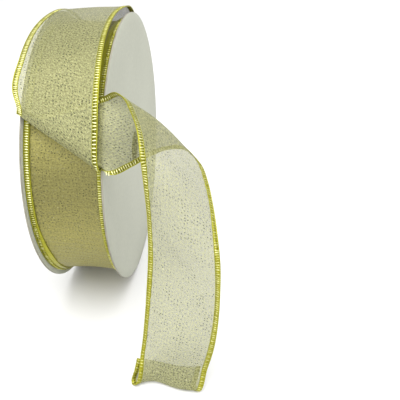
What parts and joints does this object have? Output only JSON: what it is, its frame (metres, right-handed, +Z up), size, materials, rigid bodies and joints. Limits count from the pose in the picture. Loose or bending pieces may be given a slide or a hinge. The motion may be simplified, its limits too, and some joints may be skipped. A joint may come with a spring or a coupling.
{
  "type": "ribbon spool",
  "caption": "Flanged board spool wound with sheer wire-edged gauze ribbon, its loose end folded across the front and hanging as a tail.",
  "frame": {"origin": "middle of the spindle hole, on the spool's axis, halfway between the two flanges", "axes": "+X along the axis towards the flange that the loose end passes, +Z up, -Y towards the hanging tail; the surface it stands on is Z = -0.076"},
  "size_m": [0.1007, 0.1867, 0.1549],
  "materials": {
    "board": "matt white-lined board",
    "core_board": "raw grey-brown board",
    "glue": "dried glue",
    "tape": "satin paper tape",
    "gauze": "sheer metallic gauze",
    "gold_edge": "metallic stitched edge",
    "wire": "fine wrapped wire"
  },
  "bodies": {
    "spool": {"left_flange": "board", "right_flange": "board", "core_tube": "core_board", "left_glue_bead": "glue", "right_glue_bead": "glue", "start_tape": "tape", "wound_web": "gauze", "wound_left_edge": "gold_edge", "wound_right_edge": "gold_edge"},
    "loose_end": {"loose_turn_web": "gauze", "loose_turn_left_edge": "gold_edge", "loose_turn_right_edge": "gold_edge", "crossing_web": "gauze", "crossing_left_edge": "gold_edge", "crossing_right_edge": "gold_edge", "tail_web": "gauze", "tail_left_edge": "gold_edge", "tail_right_edge": "gold_edge", "turned_end_web": "gauze", "turned_end_left_edge": "gold_edge", "turned_end_right_edge": "gold_edge", "loose_left_wire": "wire", "loose_right_wire": "wire"}
  },
  "joints": [
    {"name": "loose_end_lift", "type": "hinge", "parent": "spool", "child": "loose_end", "pos_m": [0, 0, 0], "axis": [-1, 0, 0], "range_deg": [0, 40]}
  ]
}
